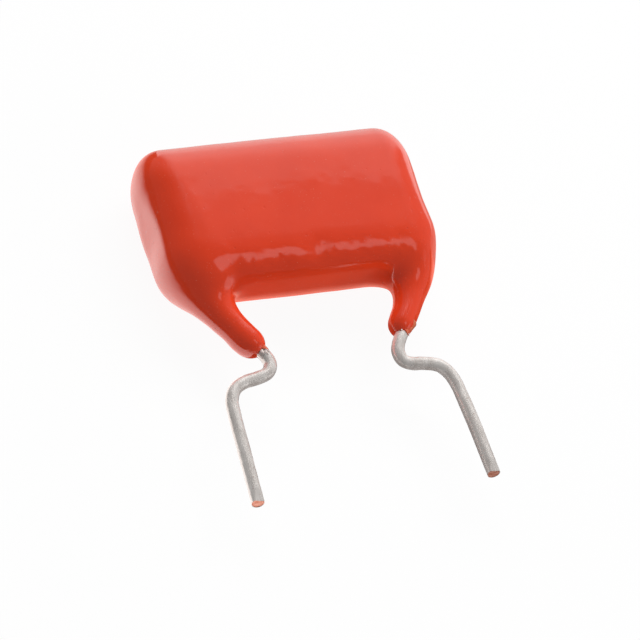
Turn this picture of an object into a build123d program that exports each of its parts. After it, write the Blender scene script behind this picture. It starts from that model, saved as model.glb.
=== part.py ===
# Radial-lead film capacitor with a dipped epoxy coat, millimetres.
#
# The part lies on its broad back face. X runs along the winding from one end
# contact to the other, Y across the body with the leads leaving towards -Y,
# and +Z is the thickness. The origin is the middle of the back face.
import math
import os

from build123d import *

os.makedirs("parts", exist_ok=True)

# Leads: tinned copper wire, one welded down the middle of each end contact
lead_pitch = 15.0            # between the wires at the end contacts and at the board
wire_diameter = 0.8
weld_sink = 0.15             # how far a wire is pressed into the sprayed metal
lead_top_margin = 0.9        # sprayed metal left above the wire's upper end
lead_below_body = 13.95      # lead-side face to the cut tips
lead_splay = 3.4             # degrees each straight lead leans outwards

# Kink formed in each wire below the body, as clear space and bend radii
shoulder_drop = 0.35         # winding's lead side to the start of the inward run
knee_inset = 3.95            # from the wire's line in to the knee's corner
knee_drop = 5.8              # lead-side face to the knee's corner
shelf_drop = 0.58            # fall of the outward run from the knee to the outer bend
shoulder_bend = 1.6          # centre-line bend radii
knee_bend = 0.92
outer_bend = 1.6

# Winding: a roll of metallised film pressed flat, and its sprayed end contacts
winding_height = 8.8
winding_thickness = 4.3
winding_corner = 1.6         # the pressed roll's rounded long edges
spray_thickness = 0.45

# Coat: dipped epoxy over everything down to the lower part of the kinks
coat_wall = 0.6              # over the winding's flat sides and long edges
coat_over_wire = 0.8         # over the wires at the two ends
end_rounding = 2.1           # radius that turns the sides into each end
rounding_limit = 0.97        # most that radius can be, as a share of the long edges'
leg_radius = 0.95            # coat run down round each wire
leg_root_depth = 2.4         # lead-side face up to the leg's start inside the body
leg_end_radius = 0.56        # lip left on the wire
leg_length = 4.15            # lead-side face to the lip
leg_blend = 1.1              # fillet between a leg and the body

wire_radius = wire_diameter / 2
wire_x = lead_pitch / 2
contact_x = wire_x - wire_radius + weld_sink
winding_length = 2 * (contact_x - spray_thickness)
body_thickness = winding_thickness + 2 * coat_wall
body_corner = winding_corner + coat_wall
body_height = winding_height + 2 * coat_wall
end_fillet = min(end_rounding, rounding_limit * body_corner)
body_end_x = wire_x + wire_radius + coat_over_wire
mid_z = body_thickness / 2
lead_side_y = -body_height / 2
top_y = winding_height / 2 - lead_top_margin
tip_y = lead_side_y - lead_below_body

# Corners of one wire's centre line, on the +X side, from weld to cut tip
shoulder_y = -winding_height / 2 - shoulder_drop
knee = (wire_x - knee_inset, lead_side_y - knee_drop)
outer_y = knee[1] - shelf_drop
splay_shift = math.tan(math.radians(lead_splay))
outer_x = wire_x - splay_shift * (outer_y - tip_y) / 2


def wire_points(side):
    """Corners of a lead's centre line on one side, side being 1 or -1."""
    tip_x = outer_x + splay_shift * (outer_y - tip_y)
    return [
        (side * wire_x, top_y),
        (side * wire_x, shoulder_y),
        (side * knee[0], knee[1]),
        (side * outer_x, outer_y),
        (side * tip_x, tip_y),
    ]


# ------------------------------------------------------------- film winding
with BuildPart() as film_winding:
    with BuildSketch(Plane.YZ.offset(-winding_length / 2)):
        with Locations((0, mid_z)):
            RectangleRounded(winding_height, winding_thickness, winding_corner)
    extrude(amount=winding_length)

film_winding.part.label = "film_winding"
export_step(film_winding.part, "parts/film_winding.step")


# -------------------------------------------------------------------- leads
def build_lead(side):
    """Wire swept along its kinked centre line, welded end first."""
    with BuildPart() as lead:
        with BuildLine(Plane.XY.offset(mid_z)) as route:
            FilletPolyline(*wire_points(side), radius=(shoulder_bend, knee_bend, outer_bend))
        with BuildSketch(Plane.XZ.offset(-top_y)):
            with Locations((side * wire_x, mid_z)):
                Circle(wire_radius)
        sweep(path=route.wires()[0])
    return lead


left_lead = build_lead(-1)
left_lead.part.label = "left_lead"
export_step(left_lead.part, "parts/left_lead.step")

right_lead = build_lead(1)
right_lead.part.label = "right_lead"
export_step(right_lead.part, "parts/right_lead.step")


# ------------------------------------------------------------- end contacts
def build_spray(side, lead):
    """Sprayed metal over one end of the roll, grooved where the wire is welded."""
    with BuildPart() as spray:
        with BuildSketch(Plane.YZ.offset(side * winding_length / 2)):
            with Locations((0, mid_z)):
                RectangleRounded(winding_height, winding_thickness, winding_corner)
        extrude(amount=side * spray_thickness)
        add(lead.part, mode=Mode.SUBTRACT)
    return spray


left_end_spray = build_spray(-1, left_lead)
left_end_spray.part.label = "left_end_spray"
export_step(left_end_spray.part, "parts/left_end_spray.step")

right_end_spray = build_spray(1, right_lead)
right_end_spray.part.label = "right_end_spray"
export_step(right_end_spray.part, "parts/right_end_spray.step")


# --------------------------------------------------------------------- coat
root_y = lead_side_y + leg_root_depth
lip_y = lead_side_y - leg_length


def leg_route(side):
    """Wire's own line from inside the body down to the lip."""
    _, shoulder, inner, _, _ = wire_points(side)
    slant = (inner[0] - shoulder[0]) / (inner[1] - shoulder[1])
    lip_x = shoulder[0] + (lip_y - shoulder[1]) * slant
    with BuildLine(Plane.XY.offset(mid_z)) as route:
        FilletPolyline((shoulder[0], root_y), shoulder, (lip_x, lip_y), radius=shoulder_bend)
    return route.wires()[0]


with BuildPart() as epoxy_coat:
    with BuildSketch(Plane.YZ.offset(-body_end_x)):
        with Locations((0, mid_z)):
            RectangleRounded(body_height, body_thickness, body_corner)
    extrude(amount=2 * body_end_x)
    end_faces = epoxy_coat.faces().filter_by(Axis.X)
    fillet(end_faces.edges(), end_fillet)
    for side in (-1, 1):
        with BuildSketch(Plane.XZ.offset(-root_y)):
            with Locations((side * wire_x, mid_z)):
                Circle(leg_radius)
        sweep(path=leg_route(side))
        fillet(epoxy_coat.edges(Select.NEW), leg_blend)
    lips = epoxy_coat.faces().filter_by(GeomType.PLANE).sort_by(Axis.Y)[:2]
    fillet(lips.edges(), leg_radius - leg_end_radius)
    for inner_part in (film_winding, left_end_spray, right_end_spray, left_lead, right_lead):
        add(inner_part.part, mode=Mode.SUBTRACT)

epoxy_coat.part.label = "epoxy_coat"
export_step(epoxy_coat.part, "parts/epoxy_coat.step")
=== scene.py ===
import math

import bpy
import numpy as np
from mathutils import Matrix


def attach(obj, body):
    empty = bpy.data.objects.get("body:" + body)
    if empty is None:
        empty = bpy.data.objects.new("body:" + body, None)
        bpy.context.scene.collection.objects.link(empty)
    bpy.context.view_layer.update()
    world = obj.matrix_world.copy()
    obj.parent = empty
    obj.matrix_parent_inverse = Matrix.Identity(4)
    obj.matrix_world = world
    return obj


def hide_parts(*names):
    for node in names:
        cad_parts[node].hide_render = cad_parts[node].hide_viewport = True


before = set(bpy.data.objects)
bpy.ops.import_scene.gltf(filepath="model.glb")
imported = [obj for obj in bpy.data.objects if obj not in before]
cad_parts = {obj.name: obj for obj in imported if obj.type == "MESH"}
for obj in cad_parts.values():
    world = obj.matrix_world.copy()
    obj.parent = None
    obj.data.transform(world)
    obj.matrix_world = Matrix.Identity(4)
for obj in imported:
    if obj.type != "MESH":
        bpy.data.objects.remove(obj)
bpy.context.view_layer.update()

import openvdb
from mathutils import Matrix, Vector


# --------------------------------------------------------------- film winding
# The capacitor itself is metallised plastic film, wound into a roll and pressed
# flat. Its long edges are rounded by the press, and the film's layers show on
# them as fine lines. It keeps its plain form, since the coat hides it.
film_greys = ((0.42, 0.42, 0.44), (0.6, 0.6, 0.61))
film_roughness = (0.25, 0.4)


def set_sockets(tree, node, sockets):
    """Give each named socket of a node its value, or a link from another node."""
    for name, value in sockets.items():
        if isinstance(value, bpy.types.NodeSocket):
            tree.links.new(value, node.inputs[name])
        else:
            node.inputs[name].default_value = value


def add_node(tree, kind, sockets=None, **settings):
    """New shader node with its settings and sockets filled in."""
    node = tree.nodes.new("ShaderNode" + kind)
    for name, value in settings.items():
        setattr(node, name, value)
    set_sockets(tree, node, sockets or {})
    return node


def new_finish(name):
    """Material with its node tree and its main shader."""
    finish = bpy.data.materials.new(name)
    finish.use_nodes = True
    return finish, finish.node_tree, finish.node_tree.nodes["Principled BSDF"]


def grain(tree, spacing, detail=2.0, stretch=(1, 1, 1)):
    """Random grain over the surface, its spacing in millimetres."""
    place = add_node(tree, "TexCoord")
    sizing = add_node(tree, "Mapping", {
        "Vector": place.outputs["Object"],
        "Scale": [1000 / (spacing * share) for share in stretch],
    })
    noise = add_node(tree, "TexNoise", {
        "Vector": sizing.outputs["Vector"],
        "Scale": 1.0,
        "Detail": detail,
    })
    return noise.outputs["Fac"]


def spread(tree, source, colours, limits):
    """Colour that goes from the first to the second as the source passes its limits."""
    ramp = add_node(tree, "ValToRGB", {"Fac": source})
    for element, limit, colour in zip(ramp.color_ramp.elements, limits, colours):
        element.position = limit
        element.color = (*colour, 1)
    return ramp.outputs["Color"]


def span(tree, source, values, limits=(0.0, 1.0)):
    """Number that goes from the first to the second as the source passes its limits."""
    scale = add_node(tree, "MapRange", {
        "Value": source,
        "From Min": limits[0],
        "From Max": limits[1],
        "To Min": values[0],
        "To Max": values[1],
    })
    return scale.outputs["Result"]


def relief(tree, source, depth, under=None):
    """Bumps on a surface, their depth in millimetres, over any that are under them."""
    bump = add_node(tree, "Bump", {"Strength": 1.0, "Distance": depth / 1000, "Height": source})
    if under is not None:
        tree.links.new(under, bump.inputs["Normal"])
    return bump.outputs["Normal"]


film, tree, shader = new_finish("metallised_film")
layers = grain(tree, spacing=6.0, stretch=(1, 1, 0.02))
set_sockets(tree, shader, {
    "Base Color": spread(tree, layers, film_greys, limits=(0.35, 0.65)),
    "Roughness": span(tree, layers, film_roughness),
    "Metallic": 0.6,
    "Normal": relief(tree, layers, depth=0.02),
})
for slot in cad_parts["film_winding"].material_slots:
    slot.material = film


# --------------------------------------------------------------- end contacts
# Zinc is sprayed molten on the two ends of the roll, where it joins the edges
# of the film. It sets as a rough matt grey layer that the leads are welded to.
zinc_greys = ((0.25, 0.25, 0.26), (0.5, 0.5, 0.5))
zinc_roughness = (0.6, 0.85)

zinc, tree, shader = new_finish("sprayed_zinc")
drops = grain(tree, spacing=0.25, detail=6.0)
set_sockets(tree, shader, {
    "Base Color": spread(tree, drops, zinc_greys, limits=(0.3, 0.7)),
    "Roughness": span(tree, drops, zinc_roughness),
    "Metallic": 0.8,
    "Normal": relief(tree, drops, depth=0.06),
})
for name in ("left_end_spray", "right_end_spray"):
    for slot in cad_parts[name].material_slots:
        slot.material = zinc


# ---------------------------------------------------------------------- leads
# The leads are copper wire with a dull tin finish, 0.8 mm thick, each welded to
# an end contact. They are kinked in a press below the block, so that the part
# stands off its board, and sheared off at the foot, which bares the copper.
MM = 0.001                     # the sizes here and below are in millimetres
wire_radius = 0.4
wire_height = 2.75             # of the wires' middle above the back of the block
left_line = (
    (-7.45, -1.0), (-7.2, -4.2), (-6.5, -5.6), (-5.58, -7.1), (-4.8, -8.25), (-4.28, -8.9),
    (-3.98, -9.45), (-3.93, -10.03), (-4.32, -10.55), (-5.1, -10.8), (-5.98, -10.98),
    (-6.68, -11.38), (-7.08, -12.05), (-7.24, -12.9), (-7.38, -14.4), (-7.5, -15.9),
    (-7.63, -17.4), (-7.77, -19.1))
right_line = (
    (7.45, -1.0), (7.45, -4.3), (7.1, -5.6), (6.4, -7.0), (5.75, -8.1), (5.18, -8.9),
    (4.68, -9.6), (4.44, -10.2), (4.54, -10.78), (5.04, -11.1), (5.86, -11.2),
    (6.68, -11.45), (7.16, -12.05), (7.38, -12.9), (7.47, -14.4), (7.52, -15.85),
    (7.53, -17.5), (7.54, -19.24))
curve_steps = 24               # points on each run of a smooth curve
ring_count = 48
ring_spacing = 0.05
wire_swells = ((0.008, 1.1), (0.006, 0.3), (0.003, 0.12))      # height and size
wire_dents = (                                                 # place, size and depth
    ((7.02, -12.2, 2.3), 0.13, 0.1), ((6.86, -12.32, 2.35), 0.09, -0.07),
    ((-4.25, -9.1, 3.1), 0.25, 0.05), ((5.2, -8.8, 3.2), 0.3, 0.04),
    ((4.7, -10.9, 3.0), 0.3, 0.05), ((-7.1, -12.4, 3.1), 0.4, 0.03),
    ((7.4, -13.4, 3.0), 0.5, 0.03))
pinch_length = 0.85            # how far up from the cut the shears have flattened the wire
pinch_height = 0.23            # what they leave above its middle at the cut
pinch_tilt = 0.12              # rise of the flattened top from one side to the other
pinch_spread = 0.25            # share of the pressed depth that comes out at the sides
cut_lean = (0.12, 0.05)        # of the cut face, upwards and sideways
tin_rim = (0.95, 0.01)         # share of the face inside the rim of tin, and its depth
copper_dish = (0.9, 0.035)     # share of the face inside the dish's edge, and its depth
heart_depth = 0.02             # of the dish's middle
upwards = np.array([0.0, 0.0, 1.0])

tin_greys = ((0.76, 0.70, 0.66), (0.98, 0.93, 0.89))
tin_roughness = (0.2, 0.36)
stain_brown = (0.36, 0.16, 0.08, 1)
copper_reds = ((0.66, 0.2, 0.11), (0.95, 0.5, 0.38))
copper_roughness = (0.4, 0.6)


def smooth_line(corners, count):
    """Points spaced evenly along a smooth curve through the corners."""
    corners = np.array(corners, float)
    padded = np.vstack([2 * corners[0] - corners[1], corners, 2 * corners[-1] - corners[-2]])
    t = np.linspace(0, 1, curve_steps, endpoint=False)[:, None]
    runs = [0.5 * (2 * b + (c - a) * t + (2 * a - 5 * b + 4 * c - d) * t ** 2
                   + (3 * b - a - 3 * c + d) * t ** 3)
            for a, b, c, d in zip(padded, padded[1:], padded[2:], padded[3:])]
    fine = np.vstack(runs + [corners[-1:]])
    along = np.append(0, np.cumsum(np.linalg.norm(np.diff(fine, axis=0), axis=1)))
    at = np.linspace(0, along[-1], count)
    return np.column_stack([np.interp(at, along, column) for column in fine.T])


def waves(seed, size, points):
    """Smooth random heights from -1 to 1, size millimetres apart, read at the points."""
    low = points.min(axis=0) - size
    count = np.ceil((points.max(axis=0) - low) / size).astype(int) + 3
    heights = np.random.default_rng(seed).uniform(-1, 1, count)
    place = (points - low) / size
    whole = place.astype(int)
    part = place - whole
    part = part * part * (3 - 2 * part)
    total = np.zeros(len(points))
    for corner in np.ndindex(2, 2, 2):
        share = np.prod(np.where(corner, part, 1 - part), axis=1)
        total += share * heights[tuple((whole + corner).T)]
    return total


def uneven(points, swells, seed):
    """Random swells of several heights and sizes together, each from its own seed."""
    return sum(height * waves(seed + number, size, points)
               for number, (height, size) in enumerate(swells))


def mounds(points, places):
    """Height at the points of round mounds, each with its place, size and height."""
    total = np.zeros(len(points))
    for place, size, height in places:
        away = np.linalg.norm(points - np.array(place), axis=1)
        total += height * np.exp(-(away / size) ** 2)
    return total


def make_piece(name, points, faces, flat=()):
    """Object from points in millimetres, smooth-shaded except on its flat faces."""
    mesh = bpy.data.meshes.new(name)
    mesh.from_pydata((np.asarray(points) * MM).tolist(), [], faces)
    smooth = np.ones(len(mesh.polygons), bool)
    smooth[list(flat)] = False
    mesh.polygons.foreach_set("use_smooth", smooth)
    piece = bpy.data.objects.new(name, mesh)
    bpy.context.scene.collection.objects.link(piece)
    return piece


def ring_angles(count):
    """Angles of the points round a ring."""
    return np.arange(count) * 2 * math.pi / count


def ring_faces(rows, count):
    """Faces between the rows of a tube's rings."""
    faces = []
    for row in range(rows - 1):
        for k in range(count):
            a = row * count + k
            b = row * count + (k + 1) % count
            faces.append((a, a + count, b + count, b))
    return faces


def wire_frame(line, count):
    """Middle, sideways and lengthways of the wire at points along its line."""
    track = smooth_line([(x, y, wire_height) for x, y in line], count)
    along = np.gradient(track, axis=0)
    along /= np.linalg.norm(along, axis=1)[:, None]
    return track, np.cross(along, upwards), along


def wire_mesh(name, line, seed):
    """A lead, from its end in the coat to its cut face."""
    length = sum(math.dist(a, b) for a, b in zip(line, line[1:]))
    rows = round(length / ring_spacing)
    track, side, along = wire_frame(line, rows)
    angles = ring_angles(ring_count)
    across = np.cos(angles)[:, None] * side[:, None]
    out = (across + np.sin(angles)[:, None] * upwards).reshape(-1, 3)
    middle = np.repeat(track, ring_count, axis=0)
    sideways = np.repeat(side, ring_count, axis=0)
    points = middle + wire_radius * out
    swell = uneven(points, wire_swells, seed) - mounds(points, wire_dents)
    points = points + swell[:, None] * out

    # The shears press the top of the wire down to a slope, and the sides out
    left_over = np.repeat(length * (1 - np.linspace(0, 1, rows)), ring_count)
    slope = pinch_height + (wire_radius - pinch_height) * left_over / pinch_length
    slope += pinch_tilt * ((points - middle) * sideways).sum(axis=1)
    pressed = np.clip(points[:, 2] - wire_height - slope, 0, None)
    points[:, 2] -= pressed
    points += pinch_spread * (pressed * np.cos(np.tile(angles, rows)))[:, None] * sideways

    # The cut face leans a little, with a thin rim of tin round the dished copper
    rim = points[-ring_count:]
    centre = rim.mean(axis=0)
    lean = -cut_lean[0] * (rim[:, 2] - wire_height) - cut_lean[1] * (rim - centre) @ side[-1]
    rim += lean[:, None] * along[-1]
    centre = rim.mean(axis=0)
    inner, deep = (centre + share * (rim - centre) - depth * along[-1]
                   for share, depth in (tin_rim, copper_dish))
    heart = centre - heart_depth * along[-1]
    faces = ring_faces(rows + 2, ring_count)
    copper_start = len(faces) - ring_count
    last = (rows + 1) * ring_count
    faces += [(last + (k + 1) % ring_count, last + k, last + ring_count)
              for k in range(ring_count)]
    faces.append(tuple(range(ring_count)))
    piece = make_piece(name, np.vstack([points, inner, deep, heart]), faces,
                       range(copper_start - ring_count, len(faces)))
    marks = np.zeros(len(faces), int)
    marks[copper_start:-1] = 1
    piece.data.polygons.foreach_set("material_index", marks)
    return piece


tin, tree, shader = new_finish("tinned_wire")
mottle = grain(tree, spacing=0.45, detail=6.0, stretch=(1, 4, 1))
scratches = grain(tree, spacing=0.09, detail=4.0, stretch=(1, 12, 1))
specks = grain(tree, spacing=0.16, detail=1.0)
stained = add_node(tree, "MixRGB", {
    "Fac": span(tree, specks, (0.0, 0.4), limits=(0.7, 0.78)),
    "Color1": spread(tree, mottle, tin_greys, limits=(0.3, 0.7)),
    "Color2": stain_brown,
})
set_sockets(tree, shader, {
    "Base Color": stained.outputs["Color"],
    "Roughness": span(tree, mottle, tin_roughness, limits=(0.3, 0.7)),
    "Metallic": 0.5,
    "Normal": relief(tree, scratches, depth=0.015, under=relief(tree, mottle, depth=0.03)),
})

copper, tree, shader = new_finish("sheared_copper")
drag = grain(tree, spacing=0.12, detail=4.0, stretch=(4, 1, 1))
set_sockets(tree, shader, {
    "Base Color": spread(tree, drag, copper_reds, limits=(0.3, 0.7)),
    "Roughness": span(tree, drag, copper_roughness),
    "Metallic": 0.5,
    "Normal": relief(tree, drag, depth=0.02),
})

for name, line, node, seed in (("left_wire", left_line, "left_lead", 30),
                               ("right_wire", right_line, "right_lead", 40)):
    wire = wire_mesh(name, line, seed)
    wire.data.materials.append(tin)
    wire.data.materials.append(copper)
    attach(wire, "root")
    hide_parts(node)


# ---------------------------------------------------------------- dipped coat
# The coat is epoxy resin, dipped over the finished winding and cured hard and
# glossy. It sags a little towards the far edge while it is wet, and runs down
# both wires as legs.
block_middle = (0.33, 0.27, 2.70)
block_half = (8.80, 5.08, 2.70)
bulge_length, bulge_depth = 8, 5       # from the block's middle, for its bulges
left_to_right = 6                      # length over which the left end's form gives way
lead_to_far = 4.5                      # depth over which the lead side's form gives way
left_round = (3.0, 2.1)                # corner radii along x, on the lead and the far side
right_round = (2.2, 2.2)
lead_side_round = (2.52, 1.65)         # along y and z, above the middle
far_side_round = (3.27, 2.6)
under_round, under_change = 2.3, 1.5   # along z, on the lead side below the middle
end_wall_round = 1.7                   # along z, at the left end
end_wall_x = (5.8, 2)                  # where it starts on the way left, and how soon it is full
end_wall_y = (2.2, 3)                  # the same on the way to the lead side
corner_power = 2.29
left_flare, right_flare = 0.08, 0.42   # how much longer the far side is than the lead side
far_sag = 0.04
crown = 0.26                           # how much the broad faces bulge
crown_along, crown_middle = 0.3, 0.5   # shares of it, along the block and in its middle
core_reach, core_depth = 0.3, -1.5     # inside this reach the block has one depth
leg_join = 1.9
leg_steps, leg_margin, far_off = 60, 3, 9.0
cell = 0.1                             # size of the mesh's cells
grid_low, grid_high = (-9.6, -10.2, -0.5), (10.2, 6.2, 6.1)
slope_step = 0.02
least_reach, least_slope = 1e-3, 0.1   # so that nothing is divided by nearly nothing
skin_passes, skin_move = 2, 0.06       # how often the skin is drawn to its place, and how far

# A leg's line as (x, y, radius)
left_leg = (
    (-6.85, -2.6, 1.0), (-6.8, -4.0, 1.05), (-6.4, -5.2, 1.0), (-5.78, -6.3, 0.98),
    (-5.3, -7.2, 0.92), (-4.93, -7.95, 0.93), (-4.62, -8.4, 0.85), (-4.35, -8.75, 0.36))
right_leg = (
    (7.5, -2.6, 1.2), (7.45, -4.0, 1.25), (7.2, -5.2, 1.15), (6.55, -6.4, 0.95),
    (6.0, -7.35, 0.84), (5.57, -7.95, 0.82), (5.27, -8.35, 0.74), (5.05, -8.7, 0.36))

# Places where the resin has gathered or drawn in, as (x, y, z), size and height
gathered = (
    ((9.1, 1.9, 2.6), 1.9, 0.22), ((-8.3, 0.5, 4.9), 1.0, -0.05), ((8.6, -2.9, 4.4), 0.9, 0.06),
    ((-5.9, -4.7, 4.3), 0.9, 0.06), ((-3.9, -4.1, 4.4), 0.8, 0.05), ((2.0, 2.0, 5.4), 2.2, 0.03),
    ((-6.4, 1.2, 5.4), 1.6, -0.03), ((0.7, -3.6, 5.0), 0.8, -0.07))

# Height and size of the coat's swells, and of the flow marks on its lead-side ridge
coat_swells = ((0.022, 3.1), (0.008, 1.3), (0.004, 0.55))
ridge_flows = ((0.02, 1.6), (0.006, 0.4))
ridge_ripple = ((0.007, 0.3),)
ridge_middle, ridge_width = -4.0, 0.9
ridge_foot, ridge_rise = 3.2, 0.8

epoxy_reds = ((0.70, 0.0385, 0.0069), (0.76, 0.0455, 0.0086))
epoxy_roughness = (0.1, 0.17)
dust_pink = (0.72, 0.22, 0.15, 1)


def blend_share(value):
    """Smooth step from 0 to 1."""
    value = np.clip(value, 0, 1)
    return value * value * (3 - 2 * value)


def between(first, second, share):
    """What lies at a share of the way from the first to the second."""
    return first + (second - first) * share


def block_height(points):
    """Rough distance out of the rounded block."""
    place = points - np.array(block_middle)
    x, y, z = place.T
    right = blend_share(0.5 + x / left_to_right)
    far = blend_share(0.5 + y / lead_to_far)
    half = np.tile(np.array(block_half), (len(points), 1))
    half[:, 0] += between(left_flare, right_flare, right) * y / bulge_depth
    half[:, 1] += far_sag * far * (x / bulge_length) ** 2
    half[:, 2] -= (crown * (y / bulge_depth) ** 2
                   + crown_along * crown * (x / bulge_length) ** 2 - crown_middle * crown)
    radii = np.column_stack([
        between(between(*left_round, far), between(*right_round, far), right),
        *(between(lead, back, far) for lead, back in zip(lead_side_round, far_side_round))])
    below = blend_share(0.5 - z / under_change) * (1 - far)
    radii[:, 2] += (under_round - radii[:, 2]) * below
    end = (blend_share((-x - end_wall_x[0]) / end_wall_x[1])
           * blend_share((end_wall_y[0] - y) / end_wall_y[1]))
    radii[:, 2] += (end_wall_round - radii[:, 2]) * end
    past = np.maximum(np.abs(place) - (half - radii), 0) / radii
    reach = (past ** corner_power).sum(axis=1) ** (1 / corner_power)
    slope = np.linalg.norm(past ** (corner_power - 1) / radii, axis=1)
    slope /= np.maximum(reach, least_reach) ** (corner_power - 1)
    return np.where(reach > core_reach, (reach - 1) / np.maximum(slope, least_reach), core_depth)


def leg_height(points, leg):
    """Rough distance out of one leg, a tube whose radius changes along its line."""
    track = smooth_line([(x, y, block_middle[2], radius) for x, y, radius in leg], leg_steps)
    low = track[:, :3].min(axis=0) - leg_margin
    high = track[:, :3].max(axis=0) + leg_margin
    near = ((points > low) & (points < high)).all(axis=1)
    close, best = points[near], np.full(near.sum(), far_off)
    for a, b in zip(track, track[1:]):
        run = b[:3] - a[:3]
        share = np.clip((close - a[:3]) @ run / (run @ run), 0, 1)
        away = np.linalg.norm(close - a[:3] - share[:, None] * run, axis=1)
        best = np.minimum(best, away - between(a[3], b[3], share))
    height = np.full(len(points), far_off)
    height[near] = best
    return height


def coat_height(points):
    """Rough distance out of the whole coat, its legs joined on smoothly."""
    height = block_height(points)
    for leg in (left_leg, right_leg):
        other = leg_height(points, leg)
        share = np.clip(0.5 + 0.5 * (other - height) / leg_join, 0, 1)
        height = between(other, height, share) - leg_join * share * (1 - share)
    return height


def slope_of(points):
    """How the coat's height changes along x, y and z at the points."""
    steps = slope_step * np.eye(3)
    return np.column_stack([coat_height(points + step) - coat_height(points - step)
                            for step in steps]) / (2 * slope_step)


def coat_mesh():
    """Points and faces of the coat's skin."""
    low = np.array(grid_low)
    count = np.ceil((np.array(grid_high) - low) / cell).astype(int)
    grid = low + cell * np.stack(np.indices(count), axis=-1).reshape(-1, 3)
    volume = openvdb.FloatGrid(1.0)
    volume.copyFromArray(coat_height(grid).reshape(count).astype(np.float32))
    points, faces = volume.convertToQuads(0.0)[:2]
    points = low + cell * np.asarray(points, float)
    for _ in range(skin_passes):
        slope = slope_of(points)
        size = np.maximum((slope ** 2).sum(axis=1), least_slope)
        move = np.clip(coat_height(points), -skin_move, skin_move) / size
        points = points - move[:, None] * slope
    out = slope_of(points)
    out /= np.linalg.norm(out, axis=1)[:, None]

    ridge = (np.exp(-((points[:, 1] - ridge_middle) / ridge_width) ** 2)
             * blend_share((points[:, 2] - ridge_foot) / ridge_rise))
    swell = uneven(points, coat_swells, seed=3)
    swell += ridge * uneven(points, ridge_flows, seed=6)
    swell += ridge * uneven(points, ridge_ripple, seed=9)
    swell += mounds(points, gathered)
    return points + swell[:, None] * out, np.asarray(faces).tolist()


coat = make_piece("dipped_coat", *coat_mesh())

epoxy, tree, shader = new_finish("dipped_epoxy")
cloud = grain(tree, spacing=3.5, detail=3.0)
dust = grain(tree, spacing=0.09, detail=0.0)
skin = grain(tree, spacing=0.45, detail=2.0)
pits = grain(tree, spacing=0.22, detail=0.0)
dusty = add_node(tree, "MixRGB", {
    "Fac": span(tree, dust, (0.0, 0.3), limits=(0.78, 0.84)),
    "Color1": spread(tree, cloud, epoxy_reds, limits=(0.3, 0.7)),
    "Color2": dust_pink,
})
pitted = relief(tree, span(tree, pits, (1.0, 0.0), limits=(0.8, 0.85)), depth=0.012,
                under=relief(tree, skin, depth=0.006))
set_sockets(tree, shader, {
    "Base Color": dusty.outputs["Color"],
    "Roughness": span(tree, skin, epoxy_roughness, limits=(0.3, 0.7)),
    "Specular IOR Level": 0.5,
    "Coat Weight": 1.0,
    "Coat Roughness": 0.05,
    "Coat IOR": 1.6,
    "Sheen Weight": 1.0,
    "Sheen Roughness": 0.5,
    "Sheen Tint": (1.0, 0.1, 0.04, 1),
    "Normal": pitted,
    "Coat Normal": pitted,
})
coat.data.materials.append(epoxy)
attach(coat, "root")
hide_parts("epoxy_coat")


# ------------------------------------------------------------------- leg lips
# Each leg ends in a thin ragged lip, where the resin crept down the wire, and
# broke a little when the wire was kinked. It is the coat's own resin, thinner
# and so paler at its edge.
lip_points = 120
lip_rows = 16
lip_root, lip_edge = 0.2, 0.035      # thickness that tapers off, and what is left at the edge
lip_taper = 1.5
lip_waver = 0.02                     # how much the edge's thickness varies
lip_tuck = -0.05                     # how far the edge turns in under the wire's surface
lip_ragged = ((0.55, 0.55), (0.3, 0.2))
wire_steps = 400                     # places along a wire where a lip or a flake can start
lip_sizes = {                        # line, start and end along it, raggedness, seed
    "left": (left_line, 0.385, 0.428, 0.30, 51),
    "right": (right_line, 0.365, 0.411, 0.34, 57),
}
thin_reds = ((0.6, 0.06, 0.02), (0.72, 0.2, 0.1))
thin_roughness = (0.1, 0.25)


def read_along(columns, at):
    """Values of the wire's frame at shares of its length."""
    return np.column_stack([np.interp(at * (wire_steps - 1), np.arange(wire_steps), column)
                            for column in columns.T])


def lip_mesh(name, line, start, end, rag, seed):
    """Thin sleeve of resin on the wire, between two shares of the wire's length."""
    track, side, _ = wire_frame(line, wire_steps)
    angles = ring_angles(lip_points)
    circle = np.column_stack([np.cos(angles), np.sin(angles), np.zeros(lip_points)])
    ragged = uneven(circle, lip_ragged, seed)
    length = wire_steps * np.linalg.norm(track[1] - track[0])
    rows = []
    for row in range(lip_rows + 1):
        share = min(row, lip_rows - 1) / (lip_rows - 1)
        at = start + (end - start + rag * ragged / length) * share
        if row < lip_rows:
            thick = lip_root * (1 - share) ** lip_taper + lip_edge + lip_waver * ragged * share
        else:
            thick = lip_tuck
        radius = wire_radius + thick
        rows.append(read_along(track, at)
                    + (radius * np.cos(angles))[:, None] * read_along(side, at)
                    + (radius * np.sin(angles))[:, None] * upwards)
    return make_piece(name, np.vstack(rows), ring_faces(lip_rows + 1, lip_points))


thin_resin, tree, shader = new_finish("thin_resin")
creep = grain(tree, spacing=0.35, detail=2.0)
set_sockets(tree, shader, {
    "Base Color": spread(tree, creep, thin_reds, limits=(0.35, 0.65)),
    "Roughness": span(tree, creep, thin_roughness),
    "Coat Weight": 1.0,
    "Coat Roughness": 0.08,
    "Normal": relief(tree, creep, depth=0.03),
})
for hand, sizes in lip_sizes.items():
    lip = lip_mesh(hand + "_lip", *sizes)
    lip.data.materials.append(thin_resin)
    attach(lip, "root")


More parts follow.
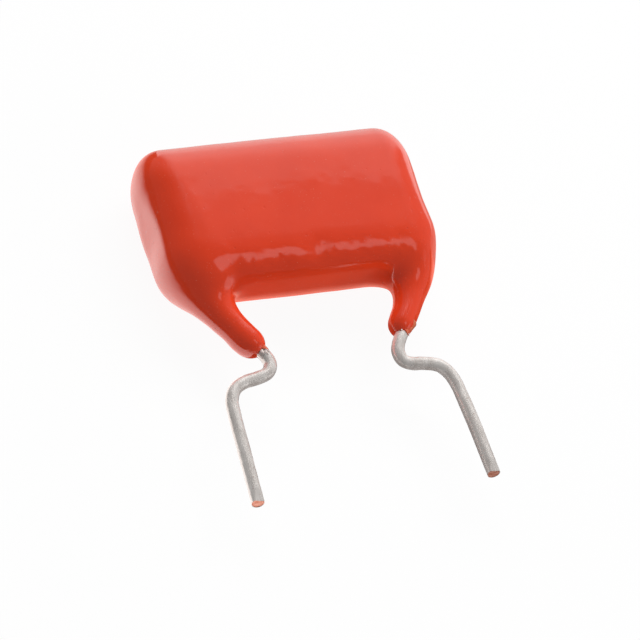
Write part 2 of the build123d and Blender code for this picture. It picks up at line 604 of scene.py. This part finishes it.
# ---------------------------------------------------------- flakes and bubble
# Where the lips cracked, slivers of clear resin stand off the wire, and a
# bubble has set in the right lip. They are resin without pigment, so they look
# white where they are thin.
flake_sizes = (   # hand, share of the wire's length, turn round the wire, length, width, lift
    ("left", 0.424, 20, 0.55, 0.16, 0.35), ("left", 0.428, 62, 0.34, 0.22, 0.2),
    ("left", 0.430, 105, 0.42, 0.16, 0.12), ("left", 0.438, 85, 0.3, 0.2, 0.1),
    ("right", 0.405, 15, 0.3, 0.12, 0.4), ("right", 0.409, 70, 0.2, 0.16, 0.15),
    ("right", 0.407, 150, 0.34, 0.13, 0.3))
flake_gap, flake_thickness = 0.02, 0.02
flake_rows = 7
flake_places = (-1, -0.4, 0.3, 1)    # across the flake, as shares of half its width
flake_root = 0.3                     # share of its length above its place on the wire
flake_taper, flake_bow = 0.9, 0.25
bubble_place, bubble_radius = (5.2, -8.62, 3.27), 0.13
bubble_ring, bubble_rows = 20, 9
bubble_foot, bubble_top = -0.3, 0.98     # shares of a quarter turn, below and above its middle
bubble_height = 0.8                      # as a share of its radius
clear_whites = ((0.8, 0.62, 0.56), (0.9, 0.86, 0.84))
clear_roughness = (0.1, 0.3)


def flake_mesh(hand, share, turn, length, width, lift):
    """Points and faces of a thin sliver that tapers and curls off the wire."""
    track, side, along = wire_frame(lip_sizes[hand][0], wire_steps)
    row = round(share * (wire_steps - 1))
    outward = math.cos(math.radians(turn)) * side[row] + math.sin(math.radians(turn)) * upwards
    across = np.cross(outward, along[row])
    points = []
    for level in (0.0, flake_thickness):
        for step in np.linspace(0, 1, flake_rows):
            off = wire_radius + flake_gap + level + lift * length * step ** 2
            middle = track[row] + off * outward + length * (step - flake_root) * along[row]
            for place in flake_places:
                bow = flake_bow * width * place ** 2
                half = place * width / 2 * (1 - flake_taper * step ** 1.5)
                points.append(middle + half * across - bow * outward)
    columns = len(flake_places)
    above = flake_rows * columns
    last = above - columns
    faces = []
    for level in (0, above):
        for row in range(flake_rows - 1):
            for k in range(columns - 1):
                corner = level + columns * row + k
                quad = (corner, corner + 1, corner + columns + 1, corner + columns)
                faces.append(quad if level else quad[::-1])
    rim = [*range(columns),
           *(columns * row + columns - 1 for row in range(1, flake_rows)),
           *range(above - 2, last - 1, -1),
           *(columns * row for row in range(flake_rows - 2, 0, -1))]
    faces += [(a, b, b + above, a + above) for a, b in zip(rim, rim[1:] + rim[:1])]
    return np.array(points), faces


def bubble_mesh():
    """Points and faces of a low dome, closed under its foot."""
    domes = np.linspace(bubble_foot, bubble_top, bubble_rows) * math.pi / 2
    dome = [[math.cos(rise) * math.cos(angle), math.cos(rise) * math.sin(angle),
             bubble_height * math.sin(rise)]
            for rise in domes for angle in ring_angles(bubble_ring)]
    faces = [face[::-1] for face in ring_faces(bubble_rows, bubble_ring)]
    faces.append(tuple(range((bubble_rows - 1) * bubble_ring, bubble_rows * bubble_ring)))
    faces.append(tuple(range(bubble_ring))[::-1])
    return bubble_radius * np.array(dome) + np.array(bubble_place), faces


clear_resin, tree, shader = new_finish("clear_resin")
crazing = grain(tree, spacing=0.12, detail=3.0)
set_sockets(tree, shader, {
    "Base Color": spread(tree, crazing, clear_whites, limits=(0.35, 0.65)),
    "Roughness": span(tree, crazing, clear_roughness),
    "Coat Weight": 1.0,
    "Normal": relief(tree, crazing, depth=0.01),
})
for number, (hand, *sizes) in enumerate(flake_sizes, 1):
    flake = make_piece(f"{hand}_flake_{number}", *flake_mesh(hand, *sizes))
    flake.data.materials.append(clear_resin)
    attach(flake, "root")

bubble = make_piece("right_bubble", *bubble_mesh())
bubble.data.materials.append(clear_resin)
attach(bubble, "root")


# ------------------------------------------------------------ table, lights and painted reflections
# The part lies on a white table, lit by a large soft box behind it, a smaller
# one low on the right, and the room. Its gloss alone sees a glowing booth, open
# at the back right, and four glowing sheets on the table. These are painted
# reflections: painted highlights where they are bright, and painted shade where
# they are dark, away from the part and under and in front of it, where its
# shadow falls.
table_width = 6000
table_drop = 0.13                    # the coat lies on its lowest swell
table_white = (0.9, 0.9, 0.9, 1)
table_glow = (1.0, 0.94)             # how far it glows for other rays, and for seen ones
room_glow = (0.35, 1.0)              # the same for the room, as strengths
lamp_sizes = (                       # name, place, width, height, watts
    ("back_box", (105, 205, 260), 400, 200, 1.20),
    ("side_box", (272, -195, 85), 240, 160, 0.41))
booth_radius = 500

# Painted reflections in the booth, seen only in gloss: dim walls as painted shade,
# a bright opening at the back right, and a streak and a low patch as painted
# highlights. Each is a direction, where the light starts and where it is full
# towards it, as shares of the booth's radius, and how strong it is
wall_light, wall_dark = ((0.66, 0.75, 0), 0.05, 0.6, 0.11), 0.11
upper_edge = ((0.355, 0, 0.935), 0.867, 0.859, 0.33)
lower_edge = ((0, 0, 1), 0.72, 0.30, 0.30)
right_half = ((1, 0, 0), -0.1, 0.25, 1.0)
back_half = ((-0.5, 0.87, 0), 0.0, 0.2, 1.0)
streak_glow = ((0.42, -0.34, 0.84), 0.968, 0.990, 0.62)
streak_start = ((0.80, 0.60, 0), -0.02, 0.06, 1.0)
streak_end = ((0.80, 0.60, 0), 0.27, 0.17, 1.0)
low_patch = ((0.80, -0.56, 0.22), 0.965, 0.988, 0.5)

# The sheets are painted reflections on the table, seen only in gloss: dark far
# off and under the part, as painted shade where its shadow falls, and brighter near
# the part, as painted light. The front tint is the part's red in that painted shade.
# Each sheet: name, reach along x and y, height, tint and strength far off, then
# the painted lights near the part, each made like one in the booth
front_tint, side_tint, end_tint = (1.0, 0.45, 0.36), (1.0, 0.8, 0.75), (1.0, 0.94, 0.92)
sheet_sizes = (
    ("front_painted_reflection", (-485, 515), (-1000, -3.6), 0.2, front_tint, 0.05,
     (((0, -1, 0), 8.5, 4.2, 0.30), ((0, -1, 0), 6.2, 4.2, 0.9))),
    ("left_painted_reflection", (-1000, -4.6), (-500, 500), 0.3, end_tint, 0.04,
     (((-1, 0, 0), 16.5, 10.5, 1.35),)),
    ("right_painted_reflection", (9.4, 500), (-3.6, 6.0), 0.4, side_tint, 0.5, ()),
    ("under_painted_shade", (-4.6, 9.4), (-3.6, 5.3), 0.1, front_tint, 0.1, ()))
front_part = ((0, -1, 0), -16, -4, 1.0)       # where the painted near lights have not faded out


def bare_finish(name):
    """Material with an empty node tree."""
    finish = bpy.data.materials.new(name)
    finish.use_nodes = True
    finish.node_tree.nodes.clear()
    return finish, finish.node_tree


def combined(tree, operation, first, second):
    """Sum, product or larger one of two numbers."""
    return add_node(tree, "Math", {0: first, 1: second}, operation=operation).outputs["Value"]


def seen_directly(tree):
    """Share that is 1 for rays from the camera, from gloss and through glass."""
    path = add_node(tree, "LightPath")
    seen = path.outputs["Is Camera Ray"]
    for ray in ("Is Glossy Ray", "Is Transmission Ray"):
        seen = combined(tree, "MAXIMUM", seen, path.outputs[ray])
    return seen


def soft_light(tree, way, start, end, level, reach):
    """Painted reflection light that comes up softly from start to end on the way, measured in
    reaches.
    """
    geometry = add_node(tree, "NewGeometry")
    towards = add_node(tree, "VectorMath", {
        0: geometry.outputs["Position"],
        1: [part / reach for part in way],
    }, operation="DOT_PRODUCT")
    rise = add_node(tree, "MapRange", {
        "Value": towards.outputs["Value"],
        "From Min": start,
        "From Max": end,
        "To Max": level,
    }, interpolation_type="SMOOTHSTEP")
    return rise.outputs["Result"]


def gloss_only(piece):
    """Keep a stage piece out of everything but reflections."""
    for ray in ("camera", "diffuse", "transmission", "shadow"):
        setattr(piece, "visible_" + ray, False)


bpy.ops.mesh.primitive_plane_add(size=table_width * MM, location=(0, 0, -table_drop * MM))
table = bpy.context.object
table.name = "table"
white, tree = bare_finish("table_white")
matt = add_node(tree, "BsdfDiffuse", {"Color": table_white})
bright = add_node(tree, "Emission", {"Strength": 1.0})
blend = add_node(tree, "MixShader", {
    "Fac": span(tree, seen_directly(tree), table_glow),
    1: matt.outputs["BSDF"],
    2: bright.outputs["Emission"],
})
add_node(tree, "OutputMaterial", {"Surface": blend.outputs["Shader"]})
table.data.materials.append(white)

world = bpy.data.worlds.new("studio")
bpy.context.scene.world = world
world.use_nodes = True
tree = world.node_tree
set_sockets(tree, tree.nodes["Background"], {
    "Color": (1, 1, 1, 1),
    "Strength": span(tree, seen_directly(tree), room_glow),
})

for name, place, width, tall, watts in lamp_sizes:
    lamp = bpy.data.lights.new(name, "AREA")
    lamp.shape = "RECTANGLE"
    lamp.size, lamp.size_y = width * MM, tall * MM
    lamp.energy = watts
    box = bpy.data.objects.new(name, lamp)
    bpy.context.scene.collection.objects.link(box)
    box.location = [part * MM for part in place]
    box.rotation_euler = (-box.location).to_track_quat("-Z", "Y").to_euler()
    box.visible_glossy = False

bpy.ops.mesh.primitive_uv_sphere_add(segments=64, ring_count=32, radius=booth_radius * MM,
                                     location=(0, 0, 0))
booth = bpy.context.object
booth.name = "booth"
gloss_only(booth)
# The booth's glow is painted reflection: painted shade on its walls, painted highlights in its
# opening, streak and patch.
booth_paint, tree = bare_finish("booth_painted_reflection")
walls, upper, lower, on_right, at_back, streak, past_start, before_end, patch = (
    soft_light(tree, *light, reach=booth_radius * MM)
    for light in (wall_light, upper_edge, lower_edge, right_half, back_half,
                  streak_glow, streak_start, streak_end, low_patch))
walls = combined(tree, "ADD", walls, wall_dark)
edge = combined(tree, "ADD", upper, lower)
opening = combined(tree, "MULTIPLY", on_right, combined(tree, "MULTIPLY", edge, at_back))
streak = combined(tree, "MULTIPLY", streak,
                  combined(tree, "MULTIPLY", past_start, before_end))
painted_reflection_light = combined(tree, "ADD", combined(tree, "ADD", walls, opening), streak)
painted_reflection_light = combined(tree, "ADD", painted_reflection_light, patch)
glow = add_node(tree, "Emission", {"Strength": painted_reflection_light})
add_node(tree, "OutputMaterial", {"Surface": glow.outputs["Emission"]})
booth.data.materials.append(booth_paint)

# Each sheet glows only in reflections, as painted shade and painted light.
for name, (x_low, x_high), (y_low, y_high), z, tint, far_light, near_lights in sheet_sizes:
    corners = [(x_low, y_low, z), (x_high, y_low, z), (x_high, y_high, z), (x_low, y_high, z)]
    sheet = make_piece(name, corners, [(0, 1, 2, 3)])
    gloss_only(sheet)
    sheet_paint, tree = bare_finish(name)
    strength = far_light
    if near_lights:
        near = 0.0
        for light in near_lights:
            near = combined(tree, "ADD", near, soft_light(tree, *light, reach=MM))
        near = combined(tree, "MULTIPLY", near, soft_light(tree, *front_part, reach=MM))
        strength = combined(tree, "ADD", far_light, near)
    glow = add_node(tree, "Emission", {"Color": (*tint, 1), "Strength": strength})
    add_node(tree, "OutputMaterial", {"Surface": glow.outputs["Emission"]})
    sheet.data.materials.append(sheet_paint)


# --------------------------------------------------------------------- camera
# The camera stands a foot away on a long lens. It looks down at the lead side
# from the left, and is rolled so that the leads hang down to the right.
azimuth, elevation, roll = math.radians(41.8985), math.radians(51.5866), math.radians(28.2988)
aim = Vector((0.2749, -7.3186, 2.7075)) * MM
distance = 298.56 * MM
back = Vector((-math.sin(azimuth) * math.cos(elevation), -math.cos(azimuth) * math.cos(elevation),
               math.sin(elevation)))
camera_data = bpy.data.cameras.new("camera")
camera_data.lens = 281.25
camera_data.sensor_width = 36.0
camera_data.clip_start = 0.01
camera_data.clip_end = 20.0
camera = bpy.data.objects.new("camera", camera_data)
bpy.context.scene.collection.objects.link(camera)
camera.matrix_world = (Matrix.Translation(aim + distance * back)
                       @ back.to_track_quat("Z", "Y").to_matrix().to_4x4()
                       @ Matrix.Rotation(roll, 4, "Z"))
bpy.context.scene.camera = camera
bpy.context.scene.view_settings.view_transform = "Standard"
